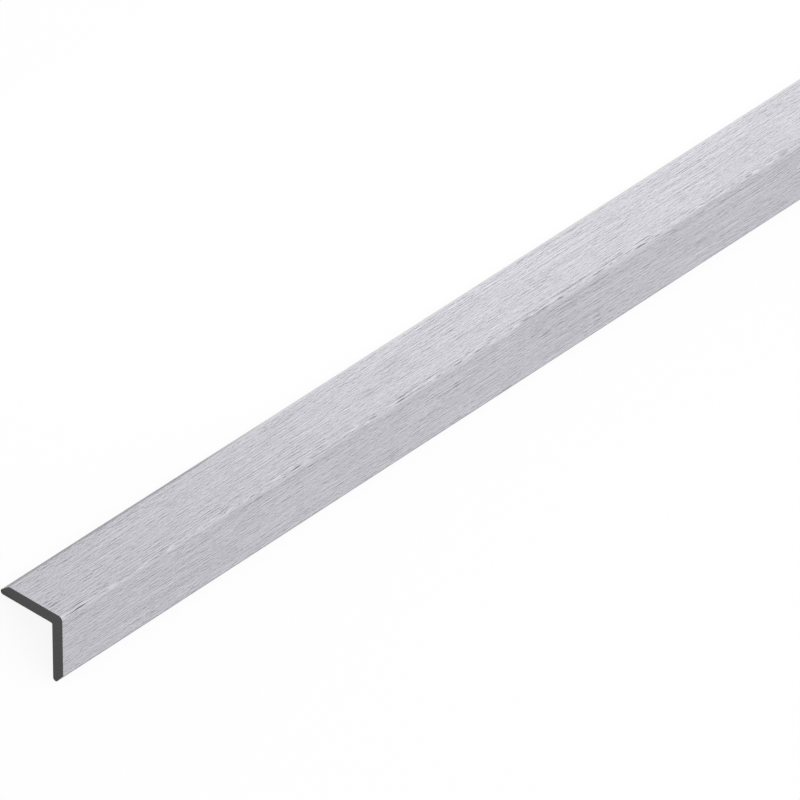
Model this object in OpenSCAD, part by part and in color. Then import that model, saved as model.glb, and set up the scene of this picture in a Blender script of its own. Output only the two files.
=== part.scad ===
// Composite angle trim: a straight length of equal-legged L section, bevelled along both toes.
// It lies on its two toes with the rounded heel up, and its length runs along X.
// The origin is on the floor, under the heel, in the middle of the length. Millimetres, Z up.

/* [Stock] */
// Length of the piece as it is sold, from one sawn end to the other
length = 2200; // [400:50:4000]

/* [Section] */
// Width of each leg, from the outer corner to the end of its toe
leg = 48; // [36:1:75]
// Thickness of both legs
wall = 8; // [6:0.5:11]
// Radius of the outer corner, the heel
heel_radius = 2.8; // [0.6:0.1:6]
// Radius of the inner corner, the root
root_radius = 0.7; // [0.2:0.1:4]

/* [Toes] */
// Slope of the bevel against the outer face of the leg, in degrees
bevel_angle = 38.5; // [30:0.5:50]
// Radius of the nose between the bevel and the inner face
nose_radius = 1.8; // [1:0.1:2.5]

/* [Hidden] */
// Node names, and the one that is drawn
// Facets of a drawn circle
$fn = 96;
// Colour of the brushed finish
silver_grey = [0.56, 0.56, 0.60];
// Turn that stands the section on its toes, heel up
heel_up_turn = 225;
// Centre of the nose, along the leg and across its wall
nose_along = leg - nose_radius;
nose_across = wall - nose_radius;
// Overlap that lets two outlines join cleanly
join = 0.001;
// Point where the bevel runs into the nose, just inside the round
bevel_end_along = nose_along + (nose_radius - join) * sin(bevel_angle);
bevel_end_across = nose_across - (nose_radius - join) * cos(bevel_angle);
// Point where the bevel leaves the outer face
bevel_start_along = bevel_end_along - bevel_end_across / tan(bevel_angle);
// Height of the sharp outer corner over the floor, with both noses on it
corner_height = (nose_along + nose_across) / sqrt(2) + nose_radius;

// One leg along X, outer face on the X axis, with its bevel and rounded nose
module leg_section() {
    polygon([
        [0, 0],
        [bevel_start_along, 0],
        [bevel_end_along, bevel_end_across],
        [nose_along, nose_across],
        [nose_along, wall],
        [0, wall]
    ]);
    translate([nose_along, nose_across]) circle(r = nose_radius);
}

// Corner of the given radius between the X and Y axes: what lies outside the arc
module corner_spandrel(radius) {
    difference() {
        square(radius);
        translate([radius, radius]) circle(r = radius);
    }
}

// Whole section: two mirrored legs, rounded at the heel and filled at the root
module angle_section() {
    difference() {
        union() {
            leg_section();
            mirror([1, -1]) leg_section();
        }
        corner_spandrel(heel_radius);
    }
    translate([wall, wall]) corner_spandrel(root_radius);
}

// The trim, extruded along its length and stood on its toes
module angle_trim() {
    color(silver_grey)
        translate([-length / 2, 0, corner_height])
            rotate([90, 0, 90])
                linear_extrude(height = length)
                    rotate(heel_up_turn)
                        angle_section();
}

angle_trim();
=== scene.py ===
"""Looks of the composite angle trim: brushed silver-grey outside, dark through-coloured composite inside.

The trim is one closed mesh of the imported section, with the brushed grain cut into its outer faces.
Metres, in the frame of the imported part: X along the length, Z up through the heel.
"""

import math
from collections import namedtuple

import bpy
import numpy as np
from mathutils import Matrix, Vector


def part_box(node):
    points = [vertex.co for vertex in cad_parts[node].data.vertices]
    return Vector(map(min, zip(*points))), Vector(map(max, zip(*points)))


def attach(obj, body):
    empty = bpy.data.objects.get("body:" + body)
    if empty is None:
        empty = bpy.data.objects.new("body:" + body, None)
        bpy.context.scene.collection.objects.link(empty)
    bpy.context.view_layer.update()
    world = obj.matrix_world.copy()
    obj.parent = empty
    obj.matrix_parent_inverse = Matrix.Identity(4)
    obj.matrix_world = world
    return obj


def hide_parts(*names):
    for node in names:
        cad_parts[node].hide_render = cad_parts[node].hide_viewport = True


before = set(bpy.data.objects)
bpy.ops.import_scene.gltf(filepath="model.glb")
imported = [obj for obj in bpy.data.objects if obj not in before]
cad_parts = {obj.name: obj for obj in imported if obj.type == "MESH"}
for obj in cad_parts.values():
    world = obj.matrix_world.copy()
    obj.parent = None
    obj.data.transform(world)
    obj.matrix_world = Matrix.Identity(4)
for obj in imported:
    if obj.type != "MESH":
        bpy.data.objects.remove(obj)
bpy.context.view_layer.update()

# Records with named values. A ramp, further down, is a row of stops: each a level and the value there
Streak = namedtuple("Streak", "length width share")
Crease = namedtuple("Crease", "place start tone")
Composite = namedtuple("Composite", "name grains detail roughness marks")
SoftLight = namedtuple("SoftLight", "name place target size power")
Stretch = namedtuple("Stretch", "places normals grain finished")
Outline = namedtuple("Outline", "places normals grain unrolled finished")

# Section, as in the part's source
LEG = 0.048
WALL = 0.008
HEEL_RADIUS = 0.0028
ROOT_RADIUS = 0.0007
BEVEL_ANGLE = math.radians(38.5)
NOSE_RADIUS = 0.0018

# Mesh: width of a column on the finished side, columns of an inner face and of half the root,
# length of a row, the angle from which an edge is shaded sharp, and the material slots
GRAIN_COLUMN = 0.00042
INNER_COLUMNS = 4
ROOT_COLUMNS = 4
ROW = 0.0061
SHARP_EDGE = math.radians(30)
FINISH_SLOT, INSIDE_SLOT, SAWN_SLOT = 0, 1, 2

# Grain cut into the mesh: how far the mesh lies inside the solid, depth of the deepest groove,
# kinds of streak, length, width and height of the wave that bends them, and the levels where
# a groove starts and is deepest
GRAIN_INSET = 0.00001
GRAIN_DEPTH = 0.00008
STREAKS = (Streak(0.018, 0.0010, 0.55), Streak(0.050, 0.0012, 0.30), Streak(0.070, 0.0090, 0.15))
WAVE_SIZE = (0.070, 0.012)
WAVE_HEIGHT = 0.0006
GROOVE_FROM, GROOVE_TO = 0.55, 0.80
GRAIN_SEED = 11

# Brushed lines: length and width of each kind, their shares in the tone and in the bump, how far
# the wave bends them, and how much darker the grooves are painted, as painted shade. A painted highlight,
# the lit side of each groove, lies beside each dark line: how far across and along the trim from it, and
# its share
BRUSH_SIZES = (
    (0.0013, 0.00048), (0.0036, 0.00050), (0.0100, 0.00058),
    (0.0240, 0.00066), (0.1200, 0.00076),
)
BRUSH_SHARES = (0.23, 0.27, 0.21, 0.19, 0.23)
RELIEF_SHARES = (0.05, 0.20, 0.25, 0.25, 0.25)
BRUSH_WAVE_HEIGHT = 0.0012
GROOVE_PAINTED_SHADE = 0.03
PAINTED_HIGHLIGHT_OFFSET = 0.0007
PAINTED_HIGHLIGHT_LEAD = 0.00028
PAINTED_HIGHLIGHT_SHARE = 0.4

# Pores, the clusters that they come in, and faint clouds: length and width, and ramp of each,
# and how much darker a pore is
PORE_SIZE = (0.011, 0.00050)
PORE_RAMP = ((0.24, 1.0), (0.38, 0.0))
PORE_TONE = 0.12
CLUSTER_SIZE = (0.045, 0.0060)
CLUSTER_RAMP = ((0.40, 0.15), (0.62, 1.0))
CLOUD_SIZE = (0.060, 0.009)
CLOUD_RAMP = ((0.25, 0.975), (0.75, 1.0))

# Heel, with places over the unrolled outside from the heel's middle, towards +Y: its half width,
# a worn band in paler patches that are partly wear and partly a painted highlight, a dull band beside it,
# dark dashes of painted shade along two creases, and pale flecks, partly wear and partly painted glints.
# A tone is how much paler or darker a mark is, and a crease's start is the level where a dash begins
HEEL_HALF = HEEL_RADIUS * math.pi / 4
WEAR_AND_HIGHLIGHT_PLACE = -0.0012
WEAR_AND_HIGHLIGHT_TONE = 0.085
PATCH_SIZE = (0.030, 0.0050)
PATCH_RAMP = ((0.35, 0.4), (0.65, 1.0))
DULL_PLACE = -0.0055
DULL_REACH = 0.0030
DULL_TONE = 0.03
PAINTED_SHADE_CREASES = (Crease(0.0020, 0.54, 0.20), Crease(-0.0002, 0.57, 0.54))
CREASE_REACH = 0.0006
DASH_SIZE = (0.012, 0.0012)
DASH_RISE = 0.18
FLECK_SIZE = (0.008, 0.0015)
FLECK_RAMP = ((0.50, 0.0), (0.72, 1.0))
FLECK_REACH = 0.0016
FLECK_AND_GLINT_TONE = 0.22

# Bevels: width over which the finish changes, and how much darker they are painted, as painted shade.
# Along the length they drift in and out of smooth stretches: the roughness of these, how much paler they
# are painted, as a painted sheen, their length and width, their ramp, and how far along them the trim was
# cut
BEVEL_BLEND = 0.0010
BEVEL_PAINTED_SHADE = 0.17
SMOOTH_ROUGHNESS = 0.12
SMOOTH_PAINTED_SHEEN = 0.070
SMOOTH_SIZE = (0.45, 0.08)
SMOOTH_RAMP = ((0.52, 0.0), (0.65, 1.0))
SMOOTH_CUT = 3.84

# Silver-grey: colour and roughness by the tone of the lines, specular level,
# and strength and depth of the bump
SILVER_RAMP = (
    (0.08, (0.150, 0.148, 0.160)),
    (0.28, (0.300, 0.297, 0.320)),
    (0.45, (0.510, 0.504, 0.544)),
    (0.53, (0.580, 0.573, 0.618)),
    (0.72, (0.690, 0.682, 0.735)),
    (0.90, (0.795, 0.786, 0.847)),
)
SILVER_ROUGHNESS = ((0.3, 0.68), (0.7, 0.54))
SILVER_SPECULAR = 0.2
SILVER_BUMP = (0.4, 0.00022)

# Dark composite: size of the filler's grains with the detail and roughness of their noise, size of
# the marks that the die or the saw leaves, detail and roughness of the marks' noise, shares of grains
# and marks, and looks as above
INSIDE = Composite("dark_composite_inside", (0.0009, 0.0007), 2.0, 0.5, (0.35, 0.0012))
SAWN = Composite("dark_composite_sawn", (0.00045, 0.00045), 3.0, 0.65, (0.05, 0.0016))
MARKS_DETAIL = 2.0
MARKS_ROUGHNESS = 0.5
COMPOSITE_SHARES = (0.6, 0.4)
COMPOSITE_RAMP = (
    (0.28, (0.052, 0.051, 0.053)),
    (0.52, (0.066, 0.0645, 0.0665)),
    (0.75, (0.080, 0.078, 0.081)),
)
COMPOSITE_ROUGHNESS = ((0.3, 0.82), (0.7, 0.68))
COMPOSITE_SPECULAR = 0.3
COMPOSITE_BUMP = (0.3, 0.00015)

# Bake map: places of the strips and of the two sawn ends on the unit square
STRIP_START, STRIP_END = 0.006, 0.880
FINISH_BANDS = ((0.006, 0.420), (0.432, 0.846))
INNER_BANDS = ((0.860, 0.920), (0.932, 0.992))
END_CORNERS = ((0.894, 0.006), (0.894, 0.120))
END_SIDE = 0.100

# Camera: bearing, height and roll in degrees, picture, lens and sensor, and the photo's pixel
# and the depth of the near outer corner
CAMERA_AZIMUTH = -93.818
CAMERA_ELEVATION = 53.692
CAMERA_ROLL = 61.950
IMAGE_PIXELS = 800
FOCAL_PIXELS = 11165
SENSOR = 36.0
CORNER_PIXEL = (62.27, 617.86)
CORNER_DEPTH = 6.198

# Floor and sky: size and looks of the floor, how far it is lifted to white where it is seen,
# the sky's light on the trim, and the rays that see both
FLOOR_SIDE = 160.0
FLOOR_COLOUR = (0.97, 0.97, 0.97, 1)
FLOOR_ROUGHNESS = 0.9
FLOOR_LIFT = 0.90
WORLD_LIGHT = 0.880
WHITE = (1, 1, 1, 1)
SEEN_RAYS = ("Is Camera Ray", "Is Glossy Ray", "Is Transmission Ray")

# Sizes that follow from the frame and the section
low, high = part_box("angle_trim")
HALF_LENGTH = (high.x - low.x) / 2
NOSE_ALONG = LEG - NOSE_RADIUS
NOSE_ACROSS = WALL - NOSE_RADIUS
BEVEL_END = (
    NOSE_ALONG + NOSE_RADIUS * math.sin(BEVEL_ANGLE),
    NOSE_ACROSS - NOSE_RADIUS * math.cos(BEVEL_ANGLE),
)
BEVEL_START = BEVEL_END[0] - BEVEL_END[1] / math.tan(BEVEL_ANGLE)
BEVEL_PLACE = HEEL_HALF + BEVEL_START - HEEL_RADIUS
CORNER_HEIGHT = (NOSE_ALONG + NOSE_ACROSS) / math.sqrt(2) + NOSE_RADIUS
QUARTER = math.pi / 2
DIAGONAL = math.sqrt(0.5)

# Soft lights: a box over the near half of the trim, and a low strip along its far side, in watts
NEAR_HALF = -HALF_LENGTH + 0.45
SOFT_LIGHTS = (
    SoftLight("overhead", (NEAR_HALF, 0, 0.90), (NEAR_HALF, 0, 0.03), (0.60, 0.60), 1.20),
    SoftLight("far_side", (0, 0.244, 0.085), (0, 0.017, 0.020), (1.78, 0.08), 0.69),
)


def columns_for(distance):
    """Number of columns that share a distance on the finished side."""
    return max(1, round(distance / GRAIN_COLUMN))


def straight(start, end, count):
    """Points from start up to, but not including, end, with one normal on the right-hand side."""
    start, end = np.array(start), np.array(end)
    along = (end - start) / np.linalg.norm(end - start)
    steps = np.linspace(0, 1, count, endpoint=False)[:, None]
    normals = np.tile((along[1], -along[0]), (count, 1))
    return start + (end - start) * steps, normals


def arc(centre, radius, first, last, count, outward=1):
    """Points of an arc from the first angle up to, but not including, the last, with its normals."""
    angles = np.linspace(first, last, count, endpoint=False)
    rays = np.stack([np.cos(angles), np.sin(angles)], 1)
    return np.array(centre) + radius * rays, outward * rays


def stretch(points, grain, finished):
    """Points and normals with the share of grain there, and whether they wear the finish."""
    places, normals = points
    return Stretch(places, normals, np.full(len(places), grain), np.full(len(places), finished))


def leg_outline():
    """One leg, along the first axis, from the middle of the heel to the middle of the root, joined up."""
    heel = (HEEL_RADIUS, HEEL_RADIUS)
    nose = (NOSE_ALONG, NOSE_ACROSS)
    root = (WALL + ROOT_RADIUS, WALL + ROOT_RADIUS)
    heel_columns = columns_for(HEEL_RADIUS * QUARTER / 2)
    face_columns = columns_for(BEVEL_START - HEEL_RADIUS)
    bevel_columns = columns_for(math.dist((BEVEL_START, 0), BEVEL_END))
    nose_columns = columns_for(NOSE_RADIUS * (2 * QUARTER - BEVEL_ANGLE))
    stretches = [
        stretch(arc(heel, HEEL_RADIUS, -1.5 * QUARTER, -QUARTER, heel_columns), 1.0, True),
        stretch(straight((HEEL_RADIUS, 0), (BEVEL_START, 0), face_columns), 1.0, True),
        stretch(straight((BEVEL_START, 0), BEVEL_END, bevel_columns), 1.0, True),
        stretch(arc(nose, NOSE_RADIUS, BEVEL_ANGLE - QUARTER, QUARTER, nose_columns), 0.0, True),
        stretch(straight((NOSE_ALONG, WALL), (root[0], WALL), INNER_COLUMNS), 0.0, False),
        stretch(arc(root, ROOT_RADIUS, -QUARTER, -1.5 * QUARTER, ROOT_COLUMNS, -1), 0.0, False),
    ]
    return Stretch(*(np.concatenate(values) for values in zip(*stretches)))


def heel_up(pairs):
    """Pairs along and across the first leg, turned into Y and Z with the heel up."""
    along, across = pairs.T
    return np.stack([(along - across) * DIAGONAL, -(along + across) * DIAGONAL], 1)


def section():
    """The closed outline: places, normals, share of grain, unrolled distance and finish of each column.

    It runs from the root along the inner face of the leg on the -Y side, round its nose, up to the heel
    and down the other leg in the same way. A column's finish is that of the stretch after its point.
    """
    leg = leg_outline()
    root_middle = WALL + ROOT_RADIUS * (1 - DIAGONAL)
    # The leg on the -Y side is the mirror image, run backwards from the root's middle to the heel's
    places = np.concatenate([[[root_middle, root_middle]], leg.places[:0:-1, ::-1], leg.places])
    normals = np.concatenate([[[DIAGONAL, DIAGONAL]], leg.normals[:0:-1, ::-1], leg.normals])
    grain = np.concatenate([[0.0], leg.grain[:0:-1], leg.grain])
    finished = np.concatenate([leg.finished[::-1], leg.finished])
    loop = heel_up(places) + (0, CORNER_HEIGHT)
    steps = np.linalg.norm(np.roll(loop, -1, 0) - loop, axis=1)
    unrolled = np.concatenate([[0.0], np.cumsum(steps)])
    return Outline(loop, heel_up(normals), grain, unrolled, finished)


def eased(share):
    """A share from 0 to 1, with a level start and end."""
    return share * share * (3 - 2 * share)


def smooth_noise(along, across, length, width, rng):
    """Value noise from 0 to 1 with cells of the given length and width, eased between its corners."""
    u, v = along / length, across / width
    u, v = u - u.min(), v - v.min()
    corners = rng.random((int(u.max()) + 3, int(v.max()) + 3))
    i, j = u.astype(int), v.astype(int)
    a, b = eased(u - i), eased(v - j)
    near = corners[i, j] * (1 - b) + corners[i, j + 1] * b
    far = corners[i + 1, j] * (1 - b) + corners[i + 1, j + 1] * b
    return near * (1 - a) + far * a


def grain_pattern(x, unrolled):
    """Depth of the grain from 0 on the land to 1 in a groove, for each row and column."""
    rng = np.random.default_rng(GRAIN_SEED)
    along, across = np.meshgrid(x, unrolled, indexing="ij")
    wave = smooth_noise(along, across, *WAVE_SIZE, rng) - 0.5
    across = across + WAVE_HEIGHT * wave
    total = np.zeros_like(along)
    for streak in STREAKS:
        total += streak.share * smooth_noise(along, across, streak.length, streak.width, rng)
    return eased(np.clip((total - GROOVE_FROM) / (GROOVE_TO - GROOVE_FROM), 0, 1))


def trim_mesh():
    """The trim as one closed mesh, with its finish, inner faces and ends in three material slots."""
    outline = section()
    columns = len(outline.places)
    rows = round(2 * HALF_LENGTH / ROW)
    x = np.linspace(-HALF_LENGTH, HALF_LENGTH, rows + 1)
    depth = grain_pattern(x, outline.unrolled[:-1]) * outline.grain
    places = np.empty((rows + 1, columns, 3))
    places[:, :, 0] = x[:, None]
    places[:, :, 1:] = outline.places - (GRAIN_INSET + GRAIN_DEPTH * depth[:, :, None]) * outline.normals

    row, column = np.meshgrid(np.arange(rows), np.arange(columns), indexing="ij")
    after = (column + 1) % columns
    quads = np.stack([row * columns + column, (row + 1) * columns + column,
                      (row + 1) * columns + after, row * columns + after], -1).reshape(-1, 4)
    near_end = list(range(columns))
    far_end = [rows * columns + c for c in reversed(range(columns))]
    mesh = bpy.data.meshes.new("angle_trim_finished")
    mesh.from_pydata(places.reshape(-1, 3).tolist(), [], [*quads.tolist(), near_end, far_end])

    sides = np.where(outline.finished[column], FINISH_SLOT, INSIDE_SLOT).ravel()
    slots = np.concatenate([sides, [SAWN_SLOT, SAWN_SLOT]]).astype(np.int32)
    mesh.polygons.foreach_set("material_index", slots)
    mesh.polygons.foreach_set("use_smooth", np.ones(len(slots), bool))
    mesh.set_sharp_from_angle(angle=SHARP_EDGE)
    across = np.tile(outline.unrolled[:-1] - outline.unrolled[-1] / 2, rows + 1)
    for name, values in (("grain", depth.ravel()), ("across", across)):
        attribute = mesh.attributes.new(name, "FLOAT", "POINT")
        attribute.data.foreach_set("value", values.astype(np.float32))
    add_bake_map(mesh, rows, outline)
    mesh.validate()
    return mesh


def strip_corners(rows, outline):
    """Bake map of the quads: the finish and the inner faces as two strips each, half the length long."""
    columns = len(outline.places)
    row = np.repeat(np.arange(rows), columns)
    column = np.tile(np.arange(columns), rows)
    half_rows = rows // 2
    second = (row >= half_rows).astype(int)
    first_row = np.array((0, half_rows))[second]
    row_count = np.array((half_rows, rows - half_rows))[second]
    u_low, u_high = (row - first_row) / row_count, (row + 1 - first_row) / row_count

    # The inner faces run on past the end of the outline, so their distances are counted round it
    unrolled = outline.unrolled
    changes = np.flatnonzero(np.diff(outline.finished.astype(int)))
    finish_start, finish_end = unrolled[changes + 1]
    finish_width = finish_end - finish_start
    inside = ~outline.finished[column]
    start = np.where(inside, finish_end, finish_start)
    width = np.where(inside, unrolled[-1] - finish_width, finish_width)
    v_low = ((unrolled[column] - start) % unrolled[-1]) / width
    v_high = v_low + (unrolled[column + 1] - unrolled[column]) / width
    bands = np.where(inside[:, None], np.array(INNER_BANDS)[second], np.array(FINISH_BANDS)[second])

    def corner(u, v):
        """Place on the map of a share of the way along a strip and across its band."""
        return np.stack([STRIP_START + (STRIP_END - STRIP_START) * u,
                         bands[:, 0] + (bands[:, 1] - bands[:, 0]) * v], 1)

    return np.stack([corner(u_low, v_low), corner(u_high, v_low),
                     corner(u_high, v_high), corner(u_low, v_high)], 1)


def add_bake_map(mesh, rows, outline):
    """Lays the strips of the finish and of the inner faces out, with the sawn ends beside them."""
    loop = outline.places
    mirrored = loop * (-1, 1)
    scale = END_SIDE / np.ptp(loop, axis=0).max()
    near_end = (mirrored - mirrored.min(0)) * scale + END_CORNERS[0]
    far_end = (loop - loop.min(0))[::-1] * scale + END_CORNERS[1]
    places = np.concatenate([strip_corners(rows, outline).reshape(-1, 2), near_end, far_end])
    layer = mesh.uv_layers.new(name="OFBake")
    layer.data.foreach_set("uv", places.astype(np.float32).ravel())


class Nodes:
    """Short calls for building one material's node tree."""

    def __init__(self, name):
        self.material = bpy.data.materials.new(name)
        self.material.use_nodes = True
        self.tree = self.material.node_tree
        self.shader = self.tree.nodes["Principled BSDF"]

    def add(self, kind, **settings):
        """A new node with the given settings."""
        node = self.tree.nodes.new(kind)
        for key, value in settings.items():
            setattr(node, key, value)
        return node

    def set(self, node, name, value):
        """Sets an input of a node to a value, or links an output to it."""
        socket = node.inputs[name]
        if isinstance(value, bpy.types.NodeSocket):
            self.tree.links.new(value, socket)
        else:
            socket.default_value = value

    def object_place(self):
        """Place in the trim's own coordinates."""
        return self.add("ShaderNodeTexCoord").outputs["Object"]

    def attribute(self, name):
        """Value that the mesh holds under a name."""
        return self.add("ShaderNodeAttribute", attribute_name=name).outputs["Fac"]

    def maths(self, operation, first, second=0.0, clamp=False):
        """Result of one operation on two values."""
        node = self.add("ShaderNodeMath", operation=operation, use_clamp=clamp)
        self.set(node, 0, first)
        self.set(node, 1, second)
        return node.outputs[0]

    def times(self, first, second):
        """Product of two values."""
        return self.maths("MULTIPLY", first, second)

    def more(self, value, share, amount):
        """A value raised by a share of an amount."""
        return self.maths("ADD", value, self.times(share, amount))

    def less(self, value, share, amount):
        """A value lowered by a share of an amount."""
        return self.maths("SUBTRACT", value, self.times(share, amount))

    def solid_noise(self, length, width, detail, roughness):
        """Noise with cells of the given length along X and width across it."""
        scale = self.add("ShaderNodeVectorMath", operation="MULTIPLY")
        self.set(scale, 0, self.object_place())
        self.set(scale, 1, (1 / length, 1 / width, 1 / width))
        node = self.add("ShaderNodeTexNoise")
        self.set(node, "Vector", scale.outputs[0])
        self.set(node, "Scale", 1.0)
        self.set(node, "Detail", detail)
        self.set(node, "Roughness", roughness)
        return node.outputs["Fac"]

    def flat_noise(self, along, across, length, width):
        """Noise with cells of the given length along the trim and width over its unrolled outside."""
        spot = self.add("ShaderNodeCombineXYZ")
        self.set(spot, "X", self.times(along, 1 / length))
        self.set(spot, "Y", self.times(across, 1 / width))
        node = self.add("ShaderNodeTexNoise", noise_dimensions="2D")
        self.set(node, "Vector", spot.outputs[0])
        self.set(node, "Scale", 1.0)
        self.set(node, "Detail", 0.0)
        return node.outputs["Fac"]

    def near_line(self, value, line, reach):
        """1 where a value is on the line, falling to 0 at the given reach from it."""
        distance = self.maths("ABSOLUTE", self.maths("SUBTRACT", value, line))
        return self.maths("SUBTRACT", 1.0, self.times(distance, 1 / reach), clamp=True)

    def past_line(self, value, line, reach):
        """0 up to the line, rising to 1 at the given reach beyond it."""
        return self.maths("MULTIPLY", self.maths("SUBTRACT", value, line), 1 / reach, clamp=True)

    def weighted(self, values, shares):
        """The values added up, each in its share."""
        total = self.times(values[0], shares[0])
        for value, share in zip(values[1:], shares[1:]):
            total = self.more(total, value, share)
        return total

    def ramp(self, value, *stops):
        """A colour ramp through (place, grey or colour) stops."""
        node = self.add("ShaderNodeValToRGB")
        elements = node.color_ramp.elements
        while len(elements) < len(stops):
            elements.new(0.5)
        for element, (place, colour) in zip(elements, stops):
            element.position = place
            element.color = (colour, colour, colour, 1) if isinstance(colour, float) else (*colour, 1)
        self.set(node, 0, value)
        return node.outputs[0]

    def mix(self, share, first, second, blend="MIX"):
        """Two colours blended by a share. The node has sockets for other kinds of value before these."""
        first_colour, second_colour, result_colour = 6, 7, 2
        node = self.add("ShaderNodeMix", data_type="RGBA", blend_type=blend)
        self.set(node, 0, share)
        self.set(node, first_colour, first)
        self.set(node, second_colour, second)
        return node.outputs[result_colour]

    def bump(self, height, strength, distance):
        """Lets a height turn the shader's normal."""
        node = self.add("ShaderNodeBump")
        self.set(node, "Strength", strength)
        self.set(node, "Distance", distance)
        self.set(node, "Height", height)
        self.set(self.shader, "Normal", node.outputs[0])


def brushed_lines(nodes, marks, along, across, from_heel):
    """Tone of the brushed lines about a middle of 0.5, with painted highlights beside them and painted
    shade in the grooves.
    """
    total = sum(BRUSH_SHARES)
    height = nodes.maths("SUBTRACT", nodes.weighted(marks, BRUSH_SHARES), (total - 1) / 2)
    # Painted highlight: a shifted copy of the lines is taken away, which leaves a lighter edge on the lit
    # side of each groove
    beside = nodes.maths("ADD", across, PAINTED_HIGHLIGHT_OFFSET)
    ahead = nodes.more(along, nodes.maths("SIGN", from_heel), PAINTED_HIGHLIGHT_LEAD)
    painted_highlight_marks = [nodes.flat_noise(ahead, beside, *size) for size in BRUSH_SIZES]
    painted_highlight = nodes.maths("SUBTRACT", nodes.weighted(painted_highlight_marks, BRUSH_SHARES), total / 2)
    lines = nodes.less(height, painted_highlight, PAINTED_HIGHLIGHT_SHARE)
    # Painted shade in the grooves that are cut into the mesh
    return nodes.less(lines, nodes.attribute("grain"), GROOVE_PAINTED_SHADE)


def with_pores(nodes, lines, along, across):
    """The tone with short dark pores, most of them in clusters."""
    pores = nodes.ramp(nodes.flat_noise(along, across, *PORE_SIZE), *PORE_RAMP)
    clusters = nodes.ramp(nodes.flat_noise(along, across, *CLUSTER_SIZE), *CLUSTER_RAMP)
    return nodes.less(lines, nodes.times(pores, clusters), PORE_TONE)


def with_worn_heel_and_painted_light(nodes, lines, along, from_heel):
    """The tone with the heel's pale patches of wear and painted highlight, dull band, dark dashes of
    painted shade and pale flecks of wear and painted glints.
    """
    # Paler patches: partly wear, partly a painted highlight along the heel
    worn_and_lit = nodes.near_line(from_heel, WEAR_AND_HIGHLIGHT_PLACE, HEEL_HALF)
    patches = nodes.ramp(nodes.flat_noise(along, from_heel, *PATCH_SIZE), *PATCH_RAMP)
    lines = nodes.more(lines, nodes.times(worn_and_lit, patches), WEAR_AND_HIGHLIGHT_TONE)
    lines = nodes.less(lines, nodes.near_line(from_heel, DULL_PLACE, DULL_REACH), DULL_TONE)
    # Dark dashes along the creases are painted shade
    dash = nodes.flat_noise(along, from_heel, *DASH_SIZE)
    for crease in PAINTED_SHADE_CREASES:
        dark = nodes.ramp(dash, (crease.start, 0.0), (crease.start + DASH_RISE, 1.0))
        here = nodes.near_line(from_heel, crease.place, CREASE_REACH)
        lines = nodes.less(lines, nodes.times(here, dark), crease.tone)
    # Pale flecks: partly wear, partly painted glints on the heel
    flecks = nodes.ramp(nodes.flat_noise(along, from_heel, *FLECK_SIZE), *FLECK_RAMP)
    flecks = nodes.times(flecks, nodes.near_line(from_heel, 0.0, FLECK_REACH))
    return nodes.more(lines, flecks, FLECK_AND_GLINT_TONE)


def smooth_stretches(nodes, bevel, along, from_heel):
    """How smooth the bevels are, drifting between 0 and 1 along the length, and 0 on the faces. It also
    places the painted sheen.
    """
    past_cut = nodes.maths("ADD", along, SMOOTH_CUT)
    drift = nodes.ramp(nodes.flat_noise(past_cut, from_heel, *SMOOTH_SIZE), *SMOOTH_RAMP)
    return nodes.times(bevel, drift)


def brushed_finish():
    """Silver-grey finish, brushed along the length with painted highlights and shade at its grooves, worn
    at the heel with painted highlight and shade there, and with painted shade and sheen on the bevels.
    """
    nodes = Nodes("brushed_silver_grey")
    place = nodes.add("ShaderNodeSeparateXYZ")
    nodes.set(place, 0, nodes.object_place())
    along = place.outputs["X"]
    from_heel = nodes.attribute("across")
    across = nodes.more(from_heel, nodes.flat_noise(along, from_heel, *WAVE_SIZE), BRUSH_WAVE_HEIGHT)
    marks = [nodes.flat_noise(along, across, *size) for size in BRUSH_SIZES]

    lines = brushed_lines(nodes, marks, along, across, from_heel)
    lines = with_pores(nodes, lines, along, across)
    lines = with_worn_heel_and_painted_light(nodes, lines, along, from_heel)
    bevel = nodes.past_line(nodes.maths("ABSOLUTE", from_heel), BEVEL_PLACE, BEVEL_BLEND)
    # Painted shade on the bevels
    lines = nodes.less(lines, bevel, BEVEL_PAINTED_SHADE)
    smooth = smooth_stretches(nodes, bevel, along, from_heel)
    # Painted sheen on the smooth stretches of the bevels
    lines = nodes.more(lines, smooth, SMOOTH_PAINTED_SHEEN)

    cloud = nodes.ramp(nodes.flat_noise(along, across, *CLOUD_SIZE), *CLOUD_RAMP)
    colour = nodes.mix(1.0, nodes.ramp(lines, *SILVER_RAMP), cloud, "MULTIPLY")
    brushed_roughness = nodes.ramp(lines, *SILVER_ROUGHNESS)
    smooth_roughness = (SMOOTH_ROUGHNESS, SMOOTH_ROUGHNESS, SMOOTH_ROUGHNESS, 1)
    roughness = nodes.mix(smooth, brushed_roughness, smooth_roughness)
    nodes.set(nodes.shader, "Base Color", colour)
    nodes.set(nodes.shader, "Roughness", roughness)
    nodes.set(nodes.shader, "Specular IOR Level", SILVER_SPECULAR)
    nodes.bump(nodes.weighted(marks, RELIEF_SHARES), *SILVER_BUMP)
    return nodes.material


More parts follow.
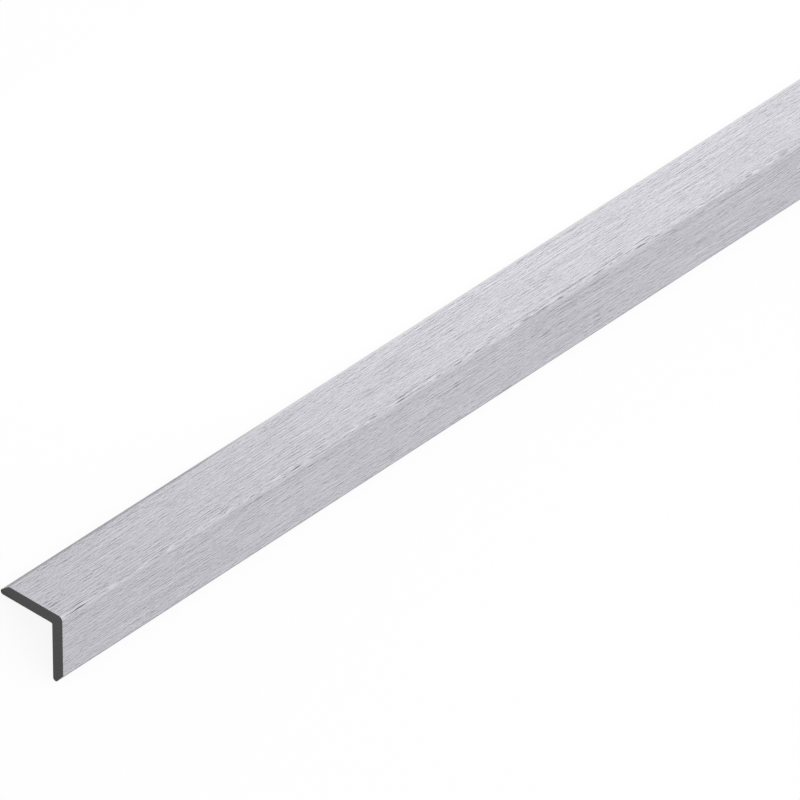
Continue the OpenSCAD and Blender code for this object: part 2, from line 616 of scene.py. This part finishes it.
def dark_composite(kind):
    """Through-coloured dark grey composite: drawn through the die inside, sawn across at the ends."""
    nodes = Nodes(kind.name)
    grains = nodes.solid_noise(*kind.grains, kind.detail, kind.roughness)
    marks = nodes.solid_noise(*kind.marks, MARKS_DETAIL, MARKS_ROUGHNESS)
    tone = nodes.weighted((grains, marks), COMPOSITE_SHARES)
    nodes.set(nodes.shader, "Base Color", nodes.ramp(tone, *COMPOSITE_RAMP))
    nodes.set(nodes.shader, "Roughness", nodes.ramp(tone, *COMPOSITE_ROUGHNESS))
    nodes.set(nodes.shader, "Specular IOR Level", COMPOSITE_SPECULAR)
    nodes.bump(tone, *COMPOSITE_BUMP)
    return nodes.material


def make_trim():
    """The trim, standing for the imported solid."""
    mesh = trim_mesh()
    for material in (brushed_finish(), dark_composite(INSIDE), dark_composite(SAWN)):
        mesh.materials.append(material)
    trim = bpy.data.objects.new("trim", mesh)
    bpy.context.scene.collection.objects.link(trim)
    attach(trim, "root")
    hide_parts("angle_trim")


def white_floor():
    """White floor material. What is seen of it is lifted to white and keeps a soft shadow."""
    nodes = Nodes("white_floor")
    nodes.set(nodes.shader, "Base Color", FLOOR_COLOUR)
    nodes.set(nodes.shader, "Roughness", FLOOR_ROUGHNESS)
    nodes.set(nodes.shader, "Specular IOR Level", 0.0)
    camera_ray, glossy_ray, transmission_ray = SEEN_RAYS
    path = nodes.add("ShaderNodeLightPath").outputs
    seen = nodes.maths("MAXIMUM", path[camera_ray], path[glossy_ray])
    seen = nodes.maths("MAXIMUM", seen, path[transmission_ray])
    glow = nodes.add("ShaderNodeEmission")
    nodes.set(glow, "Color", WHITE)
    blend = nodes.add("ShaderNodeMixShader")
    nodes.set(blend, 0, nodes.times(seen, FLOOR_LIFT))
    nodes.set(blend, 1, nodes.shader.outputs[0])
    nodes.set(blend, 2, glow.outputs[0])
    nodes.set(nodes.tree.nodes["Material Output"], "Surface", blend.outputs[0])
    return nodes.material


def make_floor():
    """A plain floor all round the trim."""
    mesh = bpy.data.meshes.new("floor")
    side = FLOOR_SIDE / 2
    corners = [(-side, -side, 0), (side, -side, 0), (side, side, 0), (-side, side, 0)]
    mesh.from_pydata(corners, [], [(0, 1, 2, 3)])
    mesh.materials.append(white_floor())
    floor = bpy.data.objects.new("floor", mesh)
    bpy.context.scene.collection.objects.link(floor)


def make_sky():
    """A white sky all round, plain white where it is seen."""
    world = bpy.data.worlds.new("studio")
    bpy.context.scene.world = world
    world.use_nodes = True
    tree = world.node_tree
    sky = tree.nodes["Background"]
    sky.inputs["Color"].default_value = WHITE
    path = tree.nodes.new("ShaderNodeLightPath")
    strength = sky.inputs["Strength"]
    for ray in SEEN_RAYS:
        seen = tree.nodes.new("ShaderNodeMath")
        seen.operation = "MAXIMUM"
        seen.inputs[0].default_value = WORLD_LIGHT
        tree.links.new(path.outputs[ray], seen.inputs[1])
        tree.links.new(seen.outputs[0], strength)
        strength = seen.inputs[0]


def make_soft_light(lamp):
    """A soft light of its length and width at its place, facing its target."""
    data = bpy.data.lights.new(lamp.name, "AREA")
    data.shape = "RECTANGLE"
    data.size, data.size_y = lamp.size
    data.energy = lamp.power
    light = bpy.data.objects.new(lamp.name, data)
    light.location = lamp.place
    facing = Vector(lamp.target) - Vector(lamp.place)
    light.rotation_euler = facing.to_track_quat("-Z", "Y").to_euler()
    bpy.context.scene.collection.objects.link(light)


def make_camera():
    """The camera at the photo's bearing, height and roll, with the near outer corner at its pixel."""
    azimuth, elevation, roll = map(math.radians, (CAMERA_AZIMUTH, CAMERA_ELEVATION, CAMERA_ROLL))
    level = math.cos(elevation)
    back = Vector((math.sin(azimuth) * level, -math.cos(azimuth) * level, math.sin(elevation)))
    level_right = (-back).cross(Vector((0, 0, 1))).normalized()
    level_up = back.cross(level_right)
    right = level_right * math.cos(roll) + level_up * math.sin(roll)
    up = level_up * math.cos(roll) - level_right * math.sin(roll)
    across, down = ((pixel - IMAGE_PIXELS / 2) * CORNER_DEPTH / FOCAL_PIXELS for pixel in CORNER_PIXEL)
    corner = Vector((-HALF_LENGTH, 0, CORNER_HEIGHT))
    place = corner - right * across + up * down + back * CORNER_DEPTH
    data = bpy.data.cameras.new("camera")
    data.sensor_width = SENSOR
    data.lens = FOCAL_PIXELS / IMAGE_PIXELS * SENSOR
    camera = bpy.data.objects.new("camera", data)
    camera.matrix_world = Matrix.Translation(place) @ Matrix((right, up, back)).transposed().to_4x4()
    bpy.context.scene.collection.objects.link(camera)
    bpy.context.scene.camera = camera


make_trim()
make_floor()
make_sky()
for soft_light in SOFT_LIGHTS:
    make_soft_light(soft_light)
make_camera()
bpy.context.scene.view_settings.view_transform = "Standard"

bpy.context.view_layer.update()
